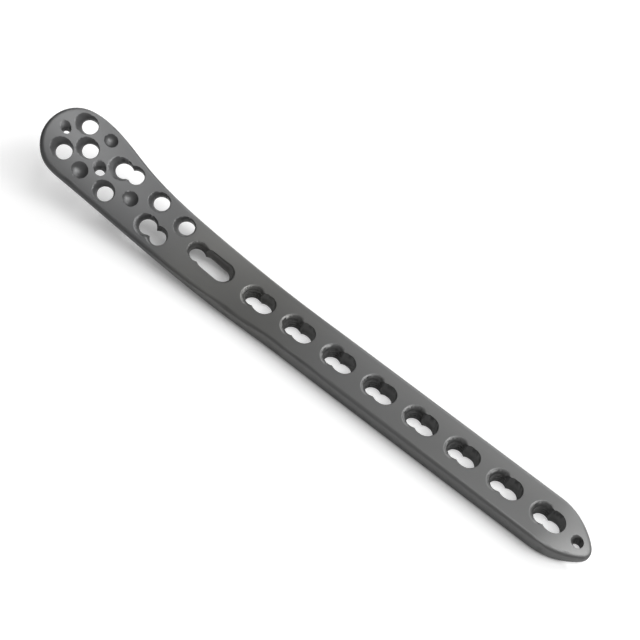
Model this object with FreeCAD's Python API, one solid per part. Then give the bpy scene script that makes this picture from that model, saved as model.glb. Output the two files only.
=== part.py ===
import FreeCAD, Part
import math
import os

V = FreeCAD.Vector

# Contoured locking plate for the inner side of the lower shin bone, in millimetres.
# X runs along the plate from the broad head to the tip, Y across it, Z up.
# The shaft lies on its bone side on Z = 0 and the head curves up and away from it.

# Overall form
plate_length = 174.3
shaft_width = 14.4
head_reach = 10.5
shaft_thickness = 4.75
head_thickness = 2.3
top_edge_radius = 1.05
top_edge_steps = 3
bone_edge_radius = 0.6
bone_edge_steps = 1

# Plan outline of the head: where its flare starts, and places by distance from the end and side
flare_start_from_end = 84.6
head_outline = (
    (63.6, 7.85),
    (43.6, 8.0),
    (24.6, 8.7),
    (11.7, 9.8),
    (4.0, 7.2),
    (0.3, 0.0),
    (1.3, -6.65),
    (4.8, -9.85),
    (11.6, -10.1),
    (24.6, -8.95),
    (43.6, -8.35),
    (63.6, -7.85),
)

# Tip, seen from above: two long arcs that meet in a small nose
tip_arc_radius = 18.3
tip_nose_radius = 3.0

# Side form
bend_start_from_end = 71.85
bend_radius = 172.0
taper_from_end = (23.6, 98.6)
twist_angle = 10.0
twist_from_end = (11.6, 66.6)
shaft_crown_radius = 80.0
head_crown_radius = 40.0
crown_from_end = (13.6, 58.6)
tip_ramp_length = 13.1
tip_ramp_drop = 2.3
tip_crown_radius = 26.0

# Combination holes of the shaft: a threaded cone, and a smooth slot for a sliding screw
hole_count = 8
hole_pitch = 13.0
last_hole_from_tip = 14.75
thread_rim_radius = 3.05
thread_foot_radius = 2.35
thread_mouth_depth = 1.0
slot_radius = 2.9
slot_land = 0.4
slot_foot_radius = 2.35
slot_offset = 3.0
slot_travel = 0.4
rim_break = 0.2

# Long combination hole at the foot of the head
long_hole_from_end = 49.8
long_hole_side = 0.1
long_thread_rim_radius = 3.1
long_slot_offset = 3.2
long_slot_travel = 4.85

# Two short combination holes in the head: place from the end and side, place of the slot
head_combi_places = (
    ((21.5, 2.95), (3.1, 1.1)),
    ((35.6, -3.55), (3.75, -0.4)),
)
head_thread_rim_radius = 3.25
head_thread_foot_radius = 2.35
head_slot_radius = 2.75
head_slot_foot_radius = 2.15

# Round locking holes of the head, all drilled parallel and leaning to one side
locking_places = (
    (8.0, 4.5),
    (7.8, -5.15),
    (12.2, 0.0),
    (22.0, -5.0),
    (33.8, 3.8),
    (42.7, 3.5),
)
locking_rim_radius = 2.95
locking_bore_radius = 2.15
locking_cone_depth = 1.3
head_lean_side = -0.30
head_lean_along = 0.09

# Wire holes and blind locating dimples
head_wire_places = ((5.1, -1.0, 1.3, 1.0), (17.6, -1.9, 1.65, 1.4))
tip_wire_from_end = 4.0
tip_wire_radius = 1.35
tip_wire_mouth = 0.3
wire_mouth_depth = 0.45
dimple_places = ((14.25, 5.9, 1.95), (13.9, -5.65, 2.3), (27.8, -1.65, 2.2))
dimple_depth = 1.1

head_end = -plate_length / 2
tip_end = plate_length / 2
clear = 2.0
bent_spacing = 9.0
slope_step = 0.001
head_parts = 5
spans_per_part = 6
tip_spans = 5
nose_spans = 5
loop_tolerances = (0.002, 0.005, 0.01, 0.02)
sewing_tolerance = 0.01


def smooth(value, start, end):
    """Goes from 0 at start to 1 at end with level ends."""
    t = min(1.0, max(0.0, (value - start) / (end - start)))
    return t * t * (3 - 2 * t)


def thickness(x):
    """Thickness on the centre line, thin in the head and over the ramp of the tip."""
    from_end = x - head_end
    body = head_thickness + (shaft_thickness - head_thickness) * smooth(from_end, *taper_from_end)
    return body - tip_drop(x)


def tip_drop(x):
    """Height that the outer face has lost on the ramp of the tip."""
    run = max(0.0, x - (tip_end - tip_ramp_length))
    return tip_ramp_drop * (run / tip_ramp_length) ** 2


def crown(x):
    """Curvature across the plate."""
    head_share = 1 - smooth(x - head_end, *crown_from_end)
    tip_share = smooth(x, tip_end - tip_ramp_length, tip_end)
    shaft_curve = 1 / shaft_crown_radius
    head_part = (1 / head_crown_radius - shaft_curve) * head_share
    tip_part = (1 / tip_crown_radius - shaft_curve) * tip_share
    return shaft_curve + head_part + tip_part


def twist(x):
    """Turn of the cross-section, which lifts the side of +Y in the head."""
    return math.radians(twist_angle) * (1 - smooth(x - head_end, *twist_from_end))


def middle_height(x):
    """Height of the mid-surface on the centre line: level, then a circular bend to the head."""
    run = max(0.0, head_end + bend_start_from_end - x)
    return bend_radius - math.sqrt(bend_radius ** 2 - run ** 2) - tip_drop(x) / 2


def face_height(x, y, side):
    """Height of the outer face (side 1) or of the bone face (side -1) over a place in plan."""
    across = y * math.tan(twist(x)) - y * y * crown(x) / 2
    return middle_height(x) + side * thickness(x) / 2 + across


def outer_face_point(x, y):
    """Point of the outer face above a place in plan, and the face's normal there."""
    step = 0.05
    along = (face_height(x + step, y, 1) - face_height(x - step, y, 1)) / (2 * step)
    across = (face_height(x, y + step, 1) - face_height(x, y - step, 1)) / (2 * step)
    return V(x, y, face_height(x, y, 1)), V(-along, -across, 1).normalize()


def cubic_rows(rows_at, stations):
    """Poles of rows of cubics that keep the place and the slope of the rows at each station."""
    poles = []
    for number, station in enumerate(stations):
        before = rows_at(station - slope_step)
        after = rows_at(station + slope_step)
        slopes = [(b - a) * (0.5 / slope_step) for a, b in zip(before, after)]
        here = rows_at(station)
        if number == 0:
            poles.append(here)
        else:
            reach = (station - stations[number - 1]) / 3
            poles.append([point - slope * reach for point, slope in zip(here, slopes)])
        if number == len(stations) - 1:
            poles.append(here)
        else:
            reach = (stations[number + 1] - station) / 3
            poles.append([point + slope * reach for point, slope in zip(here, slopes)])
    return poles


def joined_mults(stations):
    """Knot multiplicities of a chain of cubics that join without a corner."""
    return [4] + [2] * (len(stations) - 2) + [4]


def curved_face(side):
    """Smooth face of degree 3 along X and 2 across, wider and longer than the plate."""
    breaks = {-clear, bend_start_from_end, *taper_from_end, *crown_from_end, *twist_from_end}
    breaks = sorted(head_end + from_end for from_end in breaks)
    stations = [breaks[0]]
    for start, end in zip(breaks, breaks[1:]):
        spans = math.ceil((end - start) / bent_spacing)
        for step in range(1, spans + 1):
            stations.append(start + (end - start) * step / spans)
    stations += [tip_end - tip_ramp_length, tip_end, tip_end + clear]
    width = head_reach + clear

    def across(x):
        lift = crown(x) * width ** 2
        return [V(x, -width, face_height(x, -width, side)),
                V(x, 0, face_height(x, 0, side) + lift / 2),
                V(x, width, face_height(x, width, side))]
    surface = Part.BSplineSurface()
    surface.buildFromPolesMultsKnots(cubic_rows(across, stations), joined_mults(stations), [3, 3],
                                     stations, [-width, width], False, False, 3, 2)
    return surface.toShape()


def face_point(x, y, side):
    """Point of the outer face or of the bone face over a place in plan."""
    return V(x, y, face_height(x, y, side))


def arc_piece(centre, radius, start, end, spans):
    """Piece of the plan outline along an arc, by its angle."""
    sense = 1 if end > start else -1

    def place(turned):
        outward = V(math.cos(start + sense * turned), math.sin(start + sense * turned), 0)
        return centre + outward * radius, outward
    return place, [abs(end - start) * step / spans for step in range(spans + 1)]


def line_piece(start, end, side, spans):
    """Piece of the plan outline along a straight side, by its length."""
    def place(length):
        return V(start + length, shaft_width / 2 * side, 0), V(0, side, 0)
    return place, [(end - start) * step / spans for step in range(spans + 1)]


def head_pieces():
    """Pieces of the plan outline round the head, from one side of the shaft to the other."""
    flare_start = V(head_end + flare_start_from_end, shaft_width / 2, 0)
    points = [flare_start]
    points += [V(head_end + from_end, side, 0) for from_end, side in head_outline]
    points.append(V(flare_start.x, -flare_start.y, 0))
    curve = Part.BSplineCurve()
    curve.interpolate(Points=points, InitialTangent=V(-1, 0, 0), FinalTangent=V(1, 0, 0))
    first = curve.FirstParameter
    last = curve.LastParameter

    def place(share):
        inside = min(last, max(first, share))
        along = curve.tangent(inside)[0]
        point = curve.value(inside) + along * (share - inside)
        return point, V(along.y, -along.x, 0)
    steps = head_parts * spans_per_part
    stations = [first + (last - first) * step / steps for step in range(steps + 1)]
    return [(place, stations[part * spans_per_part:(part + 1) * spans_per_part + 1])
            for part in range(head_parts)]


def outline_pieces():
    """Outline of the mid-surface from above: head with its neck, straight shaft, pointed tip."""
    half = shaft_width / 2
    flare_start = head_end + flare_start_from_end
    level_start = head_end + taper_from_end[1]
    nose_centre = V(tip_end - tip_nose_radius, 0, 0)
    arc_depth = tip_arc_radius - half
    arc_run = math.sqrt((tip_arc_radius - tip_nose_radius) ** 2 - arc_depth ** 2)
    arc_start = nose_centre.x - arc_run
    nose_angle = math.atan2(arc_depth, arc_run)
    pieces = head_pieces()
    for side in (1, -1):
        pieces.append(line_piece(flare_start, level_start, side, 3))
        pieces.append(line_piece(level_start, arc_start, side, 1))
        pieces.append(arc_piece(V(arc_start, -arc_depth * side, 0), tip_arc_radius,
                                side * math.pi / 2, side * nose_angle, tip_spans))
    pieces.append(arc_piece(nose_centre, tip_nose_radius, nose_angle, -nose_angle, nose_spans))
    return pieces


def wall_direction(x):
    """Upward direction of the side wall, square to the bend and to the twist."""
    run = max(0.0, head_end + bend_start_from_end - x)
    return V(run / math.sqrt(bend_radius ** 2 - run ** 2), -math.tan(twist(x)), 1).normalize()


def rounding(place, outward, side, radius, steps):
    """Points of the rounding between a face and the side wall at one place of the outline."""
    up = wall_direction(place.x)
    corner = face_point(place.x, place.y, 0)
    for turn in range(4):
        corner = corner + up * ((face_height(corner.x, corner.y, side) - corner.z) / up.z)
    level = (outward - up * outward.dot(up)).normalize()
    inner = corner - level * radius
    inner = face_point(inner.x, inner.y, side)
    inward = inner - corner
    down = up * (-side * radius)
    points = []
    for step in range(steps + 1):
        angle = math.pi / 2 * step / steps
        points.append(corner + inward * (1 - math.sin(angle)) + down * (1 - math.cos(angle)))
    return points


def rim_section(place, outward):
    """Points across the rim at one place: outer rounding, side wall, bone side rounding."""
    upper = rounding(place, outward, 1, top_edge_radius, top_edge_steps)
    lower = rounding(place, outward, -1, bone_edge_radius, bone_edge_steps)
    return upper + lower[::-1]


def row_edge(poles, stations, row):
    """Edge along one row of poles."""
    curve = Part.BSplineCurve()
    curve.buildFromPolesMultsKnots([across[row] for across in poles], joined_mults(stations),
                                   stations, False, 3)
    return curve.toShape()


def strip(poles, stations, row):
    """Strip of the rim between a row of poles and the next."""
    surface = Part.BSplineSurface()
    surface.buildFromPolesMultsKnots([across[row:row + 2] for across in poles],
                                     joined_mults(stations), [2, 2],
                                     stations, [0, 1], False, False, 3, 1)
    return surface.toShape()


def inside_loop(face, loop):
    """Part of a face that lies inside a closed loop drawn on it."""
    for tolerance in loop_tolerances:
        parts, links = face.generalFuse([loop], tolerance)
        inner = [part for part in parts.Faces if part.BoundBox.XMax < tip_end + clear / 2]
        if inner:
            return inner[0]


def blank():
    """Plate without holes: two faces, and between them a side wall with rounded edges."""
    faces = []
    outer_loop = []
    bone_loop = []
    for place_at, stations in outline_pieces():
        poles = cubic_rows(lambda t: rim_section(*place_at(t)), stations)
        rows = len(poles[0])
        faces += [strip(poles, stations, row) for row in range(rows - 1)]
        outer_loop.append(row_edge(poles, stations, 0))
        bone_loop.append(row_edge(poles, stations, rows - 1))
    for edges, side in ((outer_loop, 1), (bone_loop, -1)):
        loop = Part.Wire(Part.__sortEdges__(edges))
        faces.append(inside_loop(curved_face(side), loop))
    skin = Part.Compound(faces)
    skin.sewShape(sewing_tolerance)
    return Part.Solid(skin.Shells[0])


def half_face(points, bulge=None):
    """Half-section of a hole from radius and height pairs, closed along the axis.

    The pair that follows the first point of the bulge is reached by an arc through its middle.
    """
    corners = [V(0, 0, points[0][1])] + [V(0, r, z) for r, z in points]
    corners.append(V(0, 0, points[-1][1]))
    edges = []
    for start, end in zip(corners, corners[1:] + corners[:1]):
        if bulge and (start.y, start.z) == bulge[0]:
            edges.append(Part.Arc(start, V(0, *bulge[1]), end).toShape())
        else:
            edges.append(Part.makeLine(start, end))
    return Part.Face(Part.Wire(edges))


def slotted(section_face, travel):
    """Hole swept along X by the travel of a slot, with round ends."""
    axis = V(0, 0, 1)
    near_end = section_face.revolve(V(0, 0, 0), axis, 180)
    far_end = section_face.revolve(V(0, 0, 0), axis, -180)
    far_end.translate(V(travel, 0, 0))
    side = section_face.extrude(V(travel, 0, 0))
    other_side = side.mirror(V(0, 0, 0), V(0, 1, 0))
    return side.fuse([other_side, near_end, far_end]).removeSplitter()


def revolved(section_face):
    """Round hole about Z."""
    return section_face.revolve(V(0, 0, 0), V(0, 0, 1), 360)


def placed(cutter, point, axis, along=V(1, 0, 0)):
    """Moves a cutter drawn about Z to a point, with its axis and its slot direction."""
    axis = V(axis).normalize()
    across = axis.cross(V(along)).normalize()
    ahead = across.cross(axis)
    matrix = FreeCAD.Matrix(ahead.x, across.x, axis.x, point.x,
                            ahead.y, across.y, axis.y, point.y,
                            ahead.z, across.z, axis.z, point.z,
                            0, 0, 0, 1)
    moved = cutter.copy()
    moved.Placement = FreeCAD.Placement(matrix)
    return moved


def cone_section(rim_radius, foot_radius):
    """Half-section of a threaded hole: a conical mouth above a straight bore."""
    narrowing = (rim_radius - foot_radius) / thread_mouth_depth
    return half_face((
        (rim_radius + narrowing * clear, clear),
        (foot_radius, -thread_mouth_depth),
        (foot_radius, -shaft_thickness - clear),
    ))


def slot_section(radius, foot_radius, depth):
    """Half-section of a slot: upright wall, ball seat for a screw head, short straight foot."""
    seat_angle = math.acos(foot_radius / radius)
    seat_drop = radius * math.sin(seat_angle)
    wall_depth = max(2 * rim_break, depth - slot_land - seat_drop)
    seat_middle = (radius * math.cos(seat_angle / 2), -wall_depth - radius * math.sin(seat_angle / 2))
    return half_face((
        (radius + rim_break + clear, clear),
        (radius, -rim_break),
        (radius, -wall_depth),
        (foot_radius, -wall_depth - seat_drop),
        (foot_radius, -depth - clear),
    ), ((radius, -wall_depth), seat_middle))


def combi(x, side, thread, slot, slot_place, travel, axis=None, slope=None):
    """Combination hole: a threaded cone and, beside it, a slot that may be long."""
    top, normal = outer_face_point(x, side)
    depth = thickness(x)
    cone = revolved(cone_section(*thread))
    if travel:
        seat = slotted(slot_section(*slot, depth), travel)
    else:
        seat = revolved(slot_section(*slot, depth))
    seat.translate(V(slot_place, 0, 0))
    return placed(cone.fuse(seat), top, axis or normal, slope or V(1, 0, 0))


def shaft_combi(x):
    """Combination hole of the shaft, with its cone at x."""
    return combi(x, 0, (thread_rim_radius, thread_foot_radius), (slot_radius, slot_foot_radius),
                 slot_offset, slot_travel)


def long_combi():
    """Combination hole with a long slot, at the foot of the head."""
    return combi(head_end + long_hole_from_end, long_hole_side,
                 (long_thread_rim_radius, thread_foot_radius), (slot_radius, slot_foot_radius),
                 long_slot_offset, long_slot_travel)


def head_axis():
    """Common direction of the leaning holes of the head."""
    return V(head_lean_along, head_lean_side, 1).normalize()


def head_combi(place, slot_place):
    """Short combination hole in the head, cone and slot both leaning."""
    x = head_end + place[0]
    slot_top = outer_face_point(x + slot_place[0], place[1] + slot_place[1])[0]
    return combi(x, place[1], (head_thread_rim_radius, head_thread_foot_radius),
                 (head_slot_radius, head_slot_foot_radius), math.hypot(*slot_place), 0,
                 head_axis(), slot_top - outer_face_point(x, place[1])[0])


def locking_hole(from_end, side):
    """Round locking hole: a cone for the screw head above a straight bore."""
    top, normal = outer_face_point(head_end + from_end, side)
    profile = (
        (locking_rim_radius + clear * 0.7, clear),
        (locking_rim_radius, 0),
        (locking_bore_radius, -locking_cone_depth),
        (locking_bore_radius, -head_thickness - 2 * clear),
    )
    return placed(revolved(half_face(profile)), top, head_axis())


def wire_hole(x, side, rim_radius, bore_radius):
    """Small upright hole for a temporary wire, with a chamfered mouth."""
    top, normal = outer_face_point(x, side)
    profile = (
        (rim_radius + clear, clear),
        (rim_radius, 0),
        (bore_radius, -wire_mouth_depth),
        (bore_radius, -shaft_thickness - clear),
    )
    return placed(revolved(half_face(profile)), top, V(0, 0, 1))


def dimple(from_end, side, rim_radius):
    """Blind round hollow that locates a drill guide."""
    top, normal = outer_face_point(head_end + from_end, side)
    ball = (rim_radius ** 2 + dimple_depth ** 2) / (2 * dimple_depth)
    return Part.makeSphere(ball, top + normal * (ball - dimple_depth))


body = blank()

cutters = []
for number in range(hole_count):
    cutters.append(shaft_combi(tip_end - last_hole_from_tip - number * hole_pitch))
cutters.append(long_combi())
for place, slot_place in head_combi_places:
    cutters.append(head_combi(place, slot_place))
for from_end, side in locking_places:
    cutters.append(locking_hole(from_end, side))
for from_end, side, rim_radius, bore_radius in head_wire_places:
    cutters.append(wire_hole(head_end + from_end, side, rim_radius, bore_radius))
cutters.append(wire_hole(tip_end - tip_wire_from_end, 0, tip_wire_radius + tip_wire_mouth,
                         tip_wire_radius))
for from_end, side, rim_radius in dimple_places:
    cutters.append(dimple(from_end, side, rim_radius))

for cutter in cutters:
    body = body.cut(cutter)
box = body.optimalBoundingBox(True, False)
body.translate(V(-box.Center.x, -box.Center.y, -box.ZMin))

os.makedirs("parts", exist_ok=True)
body.Solids[0].exportStep("parts/bone_plate.step")
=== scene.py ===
import bpy
import math
import numpy as np
from mathutils import Euler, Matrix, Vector


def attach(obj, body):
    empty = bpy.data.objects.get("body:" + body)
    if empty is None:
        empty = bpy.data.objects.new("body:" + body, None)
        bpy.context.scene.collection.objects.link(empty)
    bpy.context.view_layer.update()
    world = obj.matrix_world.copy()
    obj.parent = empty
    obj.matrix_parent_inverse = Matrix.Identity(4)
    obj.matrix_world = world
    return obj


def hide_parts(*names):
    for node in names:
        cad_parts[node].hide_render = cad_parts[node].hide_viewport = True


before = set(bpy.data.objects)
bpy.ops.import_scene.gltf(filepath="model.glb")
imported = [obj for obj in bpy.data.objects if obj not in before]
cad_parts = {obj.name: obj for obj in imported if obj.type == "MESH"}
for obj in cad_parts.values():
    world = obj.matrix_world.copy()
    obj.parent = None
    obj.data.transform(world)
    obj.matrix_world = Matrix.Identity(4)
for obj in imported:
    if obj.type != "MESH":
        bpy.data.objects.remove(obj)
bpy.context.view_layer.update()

bpy.ops.object.select_all(action="DESELECT")

# View: a long lens that looks down on the plate from beside its shaft, so that the head
# lies at the upper left of the picture and the tip at the lower right.
view_place = Vector((0.10700, -0.21031, 0.37644))
view_turn = Euler([math.radians(angle) for angle in (32.312, -7.604, 38.480)])
view_lens = 98.5
film_width = 36.0
nearest_seen = 0.01
bpy.ops.object.camera_add(location=view_place, rotation=view_turn)
camera = bpy.context.object
camera.name = "product_camera"
camera.data.lens = view_lens
camera.data.sensor_width = film_width
camera.data.clip_start = nearest_seen
bpy.context.scene.camera = camera
bpy.context.scene.view_settings.view_transform = "Standard"


class Socket:
    """A shader socket with arithmetic, for one node tree."""

    def __init__(self, tree, link):
        self.tree = tree
        self.link = link

    def node(self, kind, settings=None, out=0, **inputs):
        """Adds a node of a type with settings, then feeds its sockets by name or number."""
        made = self.tree.nodes.new(kind)
        for name, value in (settings or {}).items():
            setattr(made, name, value)
        for name, value in inputs.items():
            key = int(name[1:]) if name[0] == "i" and name[1:].isdigit() else name
            socket = made.inputs[key]
            if isinstance(value, Socket):
                self.tree.links.new(value.link, socket)
            else:
                socket.default_value = value
        return Socket(self.tree, made.outputs[out])

    def maths(self, operation, other):
        return self.node("ShaderNodeMath", {"operation": operation}, i0=self, i1=other)

    def __add__(self, other):
        return self.maths("ADD", other)

    def __mul__(self, other):
        return self.maths("MULTIPLY", other)

    def __sub__(self, other):
        return self.maths("SUBTRACT", other)

    def __rsub__(self, other):
        return self.node("ShaderNodeMath", {"operation": "SUBTRACT"}, i0=other, i1=self)

    __radd__ = __add__
    __rmul__ = __mul__


# Plate: one piece milled from titanium bar, bent to the bone, tumbled and blasted to a fine
# satin, then anodised to a dark neutral grey. It lies loose on its bone side. The mouths of
# the shaft's threaded bores flare softly on the side away from their slots. The head's base
# colour is made darker, which is painted shade.
plate_grey = (0.150, 0.151, 0.150, 1.0)
plate_olive = (0.151, 0.151, 0.146, 1.0)
# Painted shade: a darker grey that the base colour takes on towards the head end.
head_painted_shade_grey = (0.122, 0.123, 0.124, 1.0)
olive_from = (-0.060, -0.042)
olive_until = (0.010, -0.016)
head_painted_shade_span = (-0.034, -0.052)
plate_metallic = 0.75
plate_roughness = 0.42
cloud_scale = 60.0
cloud_roughness = 0.10
grain_scale = 9000.0
grain_strength = 0.05
grain_height = 0.00002
noise_detail = 2.0
shaft_holes = 8
last_hole_x = 0.072413
hole_y = 0.000228
hole_pitch = 0.013
flare_inside = 0.0028
flare_outside = 0.0036
flare_depth = 0.00036
flare_fade = (0.0010, -0.0012)
flares_from = (-0.0240, -0.0230)
flares_until = (0.0770, 0.0760)
weld_distance = 1e-6
smooth_below = math.radians(30)
metal = bpy.data.materials.new("anodised_titanium")
metal.use_nodes = True
shader = metal.node_tree.nodes["Principled BSDF"]
place = Socket(metal.node_tree, None).node("ShaderNodeTexCoord", out=3)
grain = place.node("ShaderNodeTexNoise", Vector=place, Scale=grain_scale, Detail=noise_detail)
cloud = place.node("ShaderNodeTexNoise", Vector=place, Scale=cloud_scale, Detail=noise_detail)
along = place.node("ShaderNodeSeparateXYZ", Vector=place)
rise = along.node("ShaderNodeMapRange", {"interpolation_type": "SMOOTHSTEP"}, Value=along,
                  i1=olive_from[0], i2=olive_from[1])
fall = along.node("ShaderNodeMapRange", {"interpolation_type": "SMOOTHSTEP"}, Value=along,
                  i1=olive_until[0], i2=olive_until[1])
tint = along.node("ShaderNodeMix", {"data_type": "RGBA"}, 2, i0=rise * fall,
                  i6=plate_grey, i7=plate_olive)
# Painted shade: the base colour turns to the darker head grey towards the head end.
head_painted_shade_mask = along.node("ShaderNodeMapRange", {"interpolation_type": "SMOOTHSTEP"},
                       Value=along, i1=head_painted_shade_span[0], i2=head_painted_shade_span[1])
shade = along.node("ShaderNodeMix", {"data_type": "RGBA"}, 2, i0=head_painted_shade_mask,
                   i6=tint, i7=head_painted_shade_grey)
metal.node_tree.links.new(shade.link, shader.inputs["Base Color"])
shader.inputs["Metallic"].default_value = plate_metallic
rough = plate_roughness + (cloud - 0.5) * cloud_roughness
metal.node_tree.links.new(rough.link, shader.inputs["Roughness"])
bump = grain.node("ShaderNodeBump", Height=grain, Strength=grain_strength,
                  Distance=grain_height)
from_axis = along.node("ShaderNodeMath", {"operation": "WRAP"}, i0=along - last_hole_x,
                       i1=hole_pitch / 2, i2=-hole_pitch / 2)
aside = place.node("ShaderNodeSeparateXYZ", out=1, Vector=place) - hole_y
reach = (from_axis * from_axis + aside * aside).maths("SQRT", 0.0)
level = reach.node("ShaderNodeMapRange", {"interpolation_type": "SMOOTHSTEP"}, Value=reach,
                   i1=flare_inside, i2=flare_outside)
away = from_axis.node("ShaderNodeMapRange", Value=from_axis,
                      i1=flare_fade[0], i2=flare_fade[1])
after_head = along.node("ShaderNodeMapRange", Value=along,
                        i1=flares_from[0], i2=flares_from[1])
before_tip = along.node("ShaderNodeMapRange", Value=along,
                        i1=flares_until[0], i2=flares_until[1])
sink = (1.0 - level) * away * after_head * before_tip * -flare_depth
bump = bump.node("ShaderNodeBump", Height=sink, Strength=1.0, Distance=1.0, Normal=bump)
metal.node_tree.links.new(bump.link, shader.inputs["Normal"])

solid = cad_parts["bone_plate"]
plate = solid.copy()
plate.data = solid.data.copy()
plate.name = "plate_body"
plate.parent = None
for key in list(plate.keys()):
    del plate[key]
bpy.context.scene.collection.objects.link(plate)
bpy.context.view_layer.objects.active = plate
plate.select_set(True)
bpy.ops.object.mode_set(mode="EDIT")
bpy.ops.mesh.select_all(action="SELECT")
bpy.ops.mesh.remove_doubles(threshold=weld_distance)
bpy.ops.object.mode_set(mode="OBJECT")
bpy.ops.object.shade_smooth_by_angle(angle=smooth_below)

# The broad faces are shaded by the surface that their corners lie on: a small quadratic
# patch is fitted round each corner, so that long facets between the holes leave no streaks.
# The mouths of the holes turn softly into these faces, as tumbled edges do.
face_turn = math.radians(12)
faces_level = 0.9
patch_reach = 0.007
smallest_term = 1e-4
mouth_faces_along = 0.3
rim_softness = 0.5
mesh = plate.data
points = np.array([v.co[:] for v in mesh.vertices])
facing = np.array([p.normal[:] for p in mesh.polygons])
beside = {}
for polygon in mesh.polygons:
    for edge in polygon.edge_keys:
        beside.setdefault(edge, []).append(polygon.index)
joined = [[] for polygon in mesh.polygons]
for pair in beside.values():
    if len(pair) == 2 and facing[pair[0]] @ facing[pair[1]] > math.cos(face_turn):
        joined[pair[0]].append(pair[1])
        joined[pair[1]].append(pair[0])
corner_normals = [Vector(c.vector) for c in mesh.corner_normals]
areas = np.array([p.area for p in mesh.polygons])
for side in (1.0, -1.0):
    seed = int(np.argmax(areas * (facing[:, 2] * side > faces_level)))
    broad = {seed}
    waiting = [seed]
    while waiting:
        for other in joined[waiting.pop()]:
            if other not in broad:
                broad.add(other)
                waiting.append(other)
    corners = sorted({v for f in broad for v in mesh.polygons[f].vertices})
    patch = points[corners]
    fitted = {}
    for corner in corners:
        near = patch - points[corner]
        near = near[np.einsum("ij,ij->i", near, near) < patch_reach ** 2] / patch_reach
        terms = np.stack([near[:, 0], near[:, 1], near[:, 0] ** 2,
                          near[:, 0] * near[:, 1], near[:, 1] ** 2], axis=1)
        slopes = np.linalg.lstsq(terms, near[:, 2], rcond=smallest_term)[0]
        fitted[corner] = side * Vector((-slopes[0], -slopes[1], 1.0)).normalized()
    for polygon in mesh.polygons:
        for loop in polygon.loop_indices:
            corner = mesh.loops[loop].vertex_index
            if polygon.index in broad:
                corner_normals[loop] = fitted[corner]
            elif (corner in fitted
                  and corner_normals[loop].dot(fitted[corner]) > mouth_faces_along):
                softened = corner_normals[loop] + rim_softness * fitted[corner]
                corner_normals[loop] = softened.normalized()
mesh.normals_split_custom_set(corner_normals)
plate.data.materials.clear()
plate.data.materials.append(metal)
plate.select_set(False)
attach(plate, "root")
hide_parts("bone_plate")

# Threads: fine ridges round the bores of the threaded halves of the shaft's holes and of the
# long hole, left open where the bore runs into the slot beside it.
thread_bore = 0.00235
thread_ridge = 0.00017
thread_pitch = 0.0010
thread_start = 0.0014
thread_open = 0.0010
shaft_rings = 4
long_hole_rings = 2
steps_round = 48
steps_across = 6
shaft_top = 0.005098
upright = Vector((0, 0, 1))
long_hole_mouth = Vector((-0.037337, 0.000328, 0.005640))
long_hole_axis = Vector((0.10670, -0.03731, 0.99359))
threads = [(Vector((last_hole_x - hole_pitch * number, hole_y, shaft_top)), upright,
            shaft_rings) for number in range(shaft_holes)]
threads.append((long_hole_mouth, long_hole_axis, long_hole_rings))
for number, (mouth, axis, count) in enumerate(threads, 1):
    turn = upright.rotation_difference(axis).to_euler()
    rings = []
    for ring in range(count):
        middle = mouth - axis * (thread_start + thread_pitch * ring)
        bpy.ops.mesh.primitive_torus_add(location=middle, rotation=turn,
                                         major_segments=steps_round,
                                         minor_segments=steps_across,
                                         major_radius=thread_bore,
                                         minor_radius=thread_ridge)
        rings.append(bpy.context.object)
    for ring in rings:
        ring.select_set(True)
    bpy.ops.object.join()
    ridges = bpy.context.object
    ridges.name = "thread_ridges_%d" % number
    bpy.ops.object.transform_apply(location=True, rotation=True, scale=True)
    bpy.ops.object.mode_set(mode="EDIT")
    bpy.ops.mesh.select_all(action="SELECT")
    bpy.ops.mesh.bisect(plane_co=mouth + Vector((thread_open, 0, 0)), plane_no=(1, 0, 0),
                        use_fill=True, clear_outer=True)
    bpy.ops.object.mode_set(mode="OBJECT")
    bpy.ops.object.shade_smooth_by_angle(angle=smooth_below)
    ridges.data.materials.append(metal)
    ridges.select_set(False)
    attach(ridges, "root")

# Floor: a plain white table, which shows white beyond the soft shadow of the plate. Its glow
# carries a painted shadow: ambient occlusion dims it where the plate hangs close above it, so
# that the floor stays dark through the holes of the head. A painted pool of light raises it
# to full, and beyond, in the wells of the shaft's holes.
floor_size = 6.0
floor_drop = 0.0001
floor_white = (0.78, 0.78, 0.78, 1.0)
glow_white = (1.0, 1.0, 1.0, 1.0)
floor_glow = 0.37
glossy_share = 0.15
contact_reach = 0.0105
contact_samples = 16
# Painted light: the level of the floor's glow in the wells of the shaft's holes.
painted_well_light = 1.3
well_half_width = (0.0050, 0.0038)
wells_from = (-0.030, -0.024)
bpy.ops.mesh.primitive_plane_add(size=floor_size, location=(0, 0, -floor_drop))
floor = bpy.context.object
floor.name = "table"
paint = bpy.data.materials.new("table_white")
paint.use_nodes = True
tree = paint.node_tree
tree.nodes.clear()
start = Socket(tree, None)
rays = tree.nodes.new("ShaderNodeLightPath")
seen = (Socket(tree, rays.outputs["Is Camera Ray"])
        + Socket(tree, rays.outputs["Is Glossy Ray"]) * glossy_share
        + Socket(tree, rays.outputs["Is Transmission Ray"]))
white = start.node("ShaderNodeBsdfDiffuse", Color=floor_white)
under = start.node("ShaderNodeTexCoord", out=3)
shaft_along = under.node("ShaderNodeSeparateXYZ", out=0, Vector=under)
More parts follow.
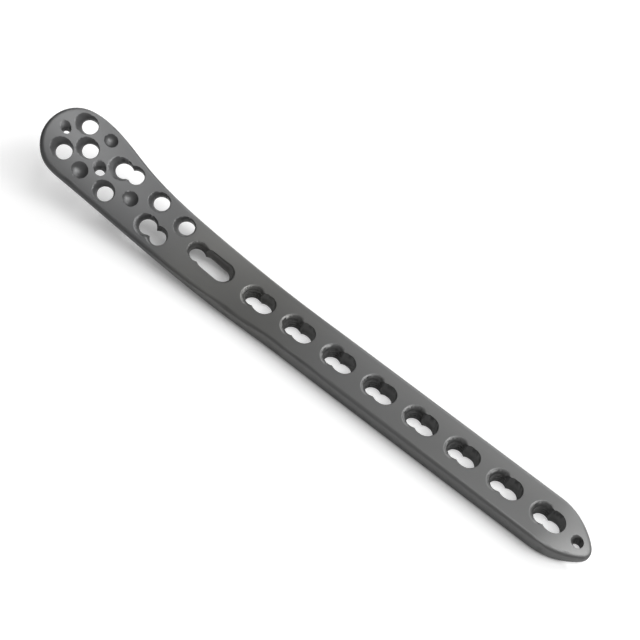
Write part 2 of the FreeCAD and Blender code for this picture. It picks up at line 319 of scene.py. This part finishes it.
shaft_across = under.node("ShaderNodeSeparateXYZ", out=1, Vector=under)
shaft_across = shaft_across.maths("ABSOLUTE", 0.0)
# Mask of the painted light in the wells of the shaft's holes.
painted_well_light_mask = (shaft_across.node("ShaderNodeMapRange", Value=shaft_across,
                          i1=well_half_width[0], i2=well_half_width[1])
        * shaft_along.node("ShaderNodeMapRange", Value=shaft_along,
                           i1=wells_from[0], i2=wells_from[1]))
# Painted shadow: ambient occlusion that dims the floor's glow under the plate.
painted_shadow_openness = start.node("ShaderNodeAmbientOcclusion", {"samples": contact_samples}, 1,
                      Distance=contact_reach)
glow = start.node("ShaderNodeEmission", Color=glow_white,
                  Strength=seen * floor_glow * (painted_shadow_openness + painted_well_light_mask * (painted_well_light - painted_shadow_openness)))
both = start.node("ShaderNodeAddShader", i0=white, i1=glow)
end = tree.nodes.new("ShaderNodeOutputMaterial")
tree.links.new(both.link, end.inputs["Surface"])
floor.data.materials.append(paint)

# Light: a broad softbox high at the right of the picture, one behind the plate and a weaker
# one above, in grey surroundings that dim to one side and leave the walls of the holes dark.
room_grey = (0.33, 0.33, 0.33, 1.0)
room_fade = (-0.9, 0.0)
room_strength = (0.15, 1.05)
for name, lamp_place, size, power in (
    ("softbox_right", (1.05, 0.60, 1.15), 0.9, 12.5),
    ("softbox_back", (0.10, 1.30, 0.8), 1.1, 9.0),
    ("softbox_top", (0.50, 0.20, 1.45), 1.0, 8.0),
):
    bpy.ops.object.light_add(type="AREA", location=lamp_place)
    lamp = bpy.context.object
    lamp.name = name
    lamp.data.shape = "SQUARE"
    lamp.data.size = size
    lamp.data.energy = power
    lamp.rotation_euler = (-Vector(lamp_place)).to_track_quat("-Z", "Y").to_euler()
world = bpy.context.scene.world or bpy.data.worlds.new("studio")
bpy.context.scene.world = world
world.use_nodes = True
room = world.node_tree.nodes["Background"]
room.inputs["Color"].default_value = room_grey
sight = Socket(world.node_tree, None).node("ShaderNodeTexCoord", out=0)
side = sight.node("ShaderNodeSeparateXYZ", Vector=sight)
fade = side.node("ShaderNodeMapRange", Value=side, i1=room_fade[0], i2=room_fade[1],
                 i3=room_strength[0], i4=room_strength[1])
world.node_tree.links.new(fade.link, room.inputs["Strength"])
